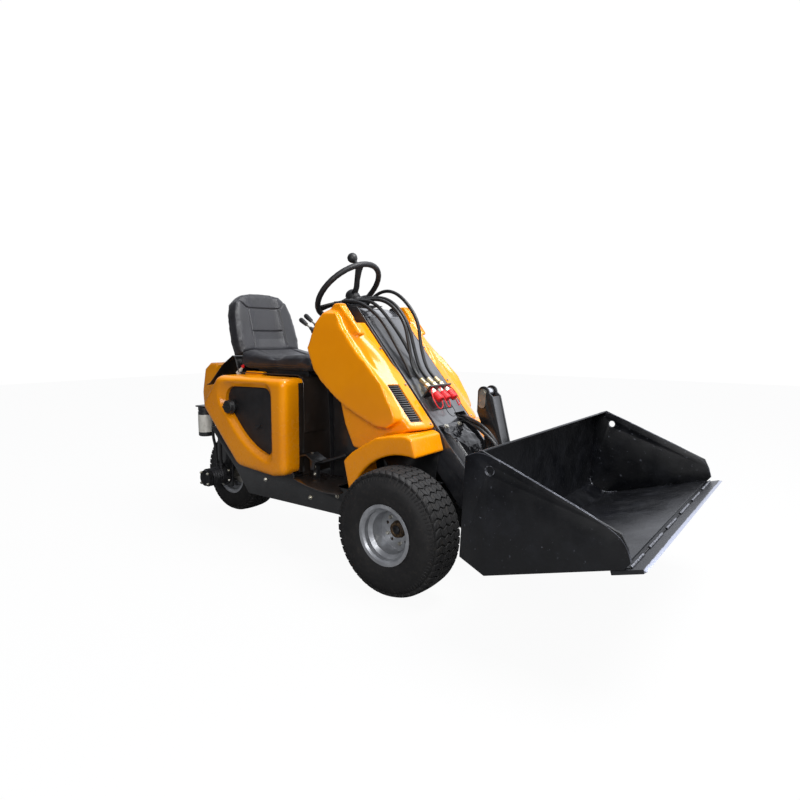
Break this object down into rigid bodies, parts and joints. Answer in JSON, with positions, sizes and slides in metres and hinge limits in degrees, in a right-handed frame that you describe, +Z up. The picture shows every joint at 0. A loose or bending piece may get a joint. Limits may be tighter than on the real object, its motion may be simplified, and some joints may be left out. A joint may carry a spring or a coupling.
{
  "type": "mini wheel loader",
  "caption": "Small ride-on loader with two front wheels, a steered rear wheel, a lifting boom between two cowls and a tilting bucket.",
  "frame": {"origin": "on the ground under the middle of the machine's footprint", "axes": "+X forward towards the bucket, +Y to the driver's left, +Z up"},
  "size_m": [2.6112, 1.2, 1.383],
  "materials": {
    "yellow_paint": "glossy moulded shell",
    "graphite": "satin powder coat",
    "bucket_paint": "satin, worn at the edges",
    "bare_steel": "worn bare steel",
    "rim_paint": "silver-grey",
    "tyre": "matt rubber",
    "seat_vinyl": "grained black vinyl",
    "black_plastic": "moulded",
    "hose_rubber": "matt",
    "zinc": "plated",
    "chrome_rod": "polished",
    "red_cap": "soft plastic",
    "cast_block": "painted casting",
    "flap_rubber": "glossy creased sheet"
  },
  "bodies": {
    "chassis": {"frame": "graphite", "tower": "graphite", "front_wheel_motors": "cast_block", "floor_plates": "graphite", "engine": "cast_block", "fuel_tank": "black_plastic", "oil_tank": "black_plastic", "rear_panel_left": "yellow_paint", "rear_panel_right": "yellow_paint", "seat_pedestal": "graphite", "rear_hood": "graphite", "tail_cover": "yellow_paint", "seat_base": "graphite", "seat_cushion": "seat_vinyl", "seat_back": "seat_vinyl", "dash_panel": "black_plastic", "steering_column": "black_plastic", "controls": "black_plastic", "cowl_left": "yellow_paint", "cowl_right": "yellow_paint", "fenders": "yellow_paint", "cowl_supports": "graphite", "boom_pin": "zinc", "lift_base_pin": "zinc", "oil_filter": "graphite"},
    "front_wheel_left": {"front_tyre_left": "tyre", "front_rim_left": "rim_paint", "front_hub_left": "zinc"},
    "front_wheel_right": {"front_tyre_right": "tyre", "front_rim_right": "rim_paint", "front_hub_right": "zinc"},
    "rear_fork": {"rear_fork": "graphite", "rear_wheel_motor": "cast_block", "rear_hoses": "hose_rubber"},
    "rear_wheel": {"rear_tyre": "tyre", "rear_rim": "rim_paint", "rear_hub": "zinc"},
    "steering_wheel": {"steering_wheel": "black_plastic"},
    "boom": {"boom": "graphite", "aux_couplers": "zinc", "coupler_bracket": "graphite", "coupler_caps": "red_cap", "cylinder_pins": "zinc", "aux_hoses": "hose_rubber", "hose_flap": "flap_rubber"},
    "lift_barrel": {"lift_barrel": "graphite"},
    "lift_rod": {"lift_rod": "chrome_rod"},
    "tilt_barrel": {"tilt_barrel": "graphite", "tilt_hoses": "hose_rubber"},
    "tilt_rod": {"tilt_rod": "chrome_rod"},
    "bucket": {"hitch_frame": "graphite", "hitch_pins": "zinc", "bucket_shell": "bucket_paint", "bucket_sides": "bucket_paint", "cutting_edge": "bare_steel"}
  },
  "joints": [
    {"name": "boom_lift", "type": "hinge", "parent": "chassis", "child": "boom", "pos_m": [-0.153, 0, 0.95], "axis": [0, -1, 0], "range_deg": [-12, 62], "deforming": ["aux_hoses"]},
    {"name": "bucket_tilt", "type": "hinge", "parent": "boom", "child": "bucket", "pos_m": [0.614, 0, 0.262], "axis": [0, 1, 0], "range_deg": [-5, 108]},
    {"name": "lift_barrel_swing", "type": "hinge", "parent": "chassis", "child": "lift_barrel", "pos_m": [-0.003, 0, 0.25], "axis": [0, -1, 0], "range_deg": [-6.85, 1.49]},
    {"name": "lift_rod_slide", "type": "slide", "parent": "lift_barrel", "child": "lift_rod", "axis": [-0.0712, 0, 0.9975], "range_m": [-0.03, 0.151]},
    {"name": "tilt_barrel_swing", "type": "hinge", "parent": "boom", "child": "tilt_barrel", "pos_m": [0.54, 0, 0.306], "axis": [0, -1, 0], "range_deg": [-104.15, 5.01], "deforming": ["tilt_hoses"]},
    {"name": "tilt_rod_slide", "type": "slide", "parent": "tilt_barrel", "child": "tilt_rod", "axis": [-0.0709, 0, 0.9975], "range_m": [-0.0089, 0.1706]},
    {"name": "rear_steer", "type": "hinge", "parent": "chassis", "child": "rear_fork", "pos_m": [-1.081, 0, 0.55], "axis": [0, 0, 1], "range_deg": [-60, 60], "deforming": ["rear_hoses"]},
    {"name": "steering_wheel_turn", "type": "hinge", "parent": "chassis", "child": "steering_wheel", "pos_m": [-0.254, 0, 1.215], "axis": [0.6896, 0, -0.7242], "range_deg": [-421, 421]},
    {"name": "rear_wheel_spin", "type": "hinge", "parent": "rear_fork", "child": "rear_wheel", "pos_m": [-1.081, 0, 0.225], "axis": [0, 1, 0], "continuous": true},
    {"name": "front_wheel_left_spin", "type": "hinge", "parent": "chassis", "child": "front_wheel_left", "pos_m": [0.327, 0.385, 0.25], "axis": [0, 1, 0], "continuous": true},
    {"name": "front_wheel_right_spin", "type": "hinge", "parent": "chassis", "child": "front_wheel_right", "pos_m": [0.327, -0.385, 0.25], "axis": [0, 1, 0], "continuous": true}
  ],
  "couplings": [
    {"joint": "lift_barrel_swing", "follows": "boom_lift", "ratio": -0.1072},
    {"joint": "lift_rod_slide", "follows": "boom_lift", "m_per_rad": 0.1386},
    {"joint": "tilt_barrel_swing", "follows": "bucket_tilt", "ratio": -0.9625},
    {"joint": "tilt_rod_slide", "follows": "bucket_tilt", "m_per_rad": 0.09},
    {"joint": "steering_wheel_turn", "follows": "rear_steer", "ratio": 7}
  ]
}
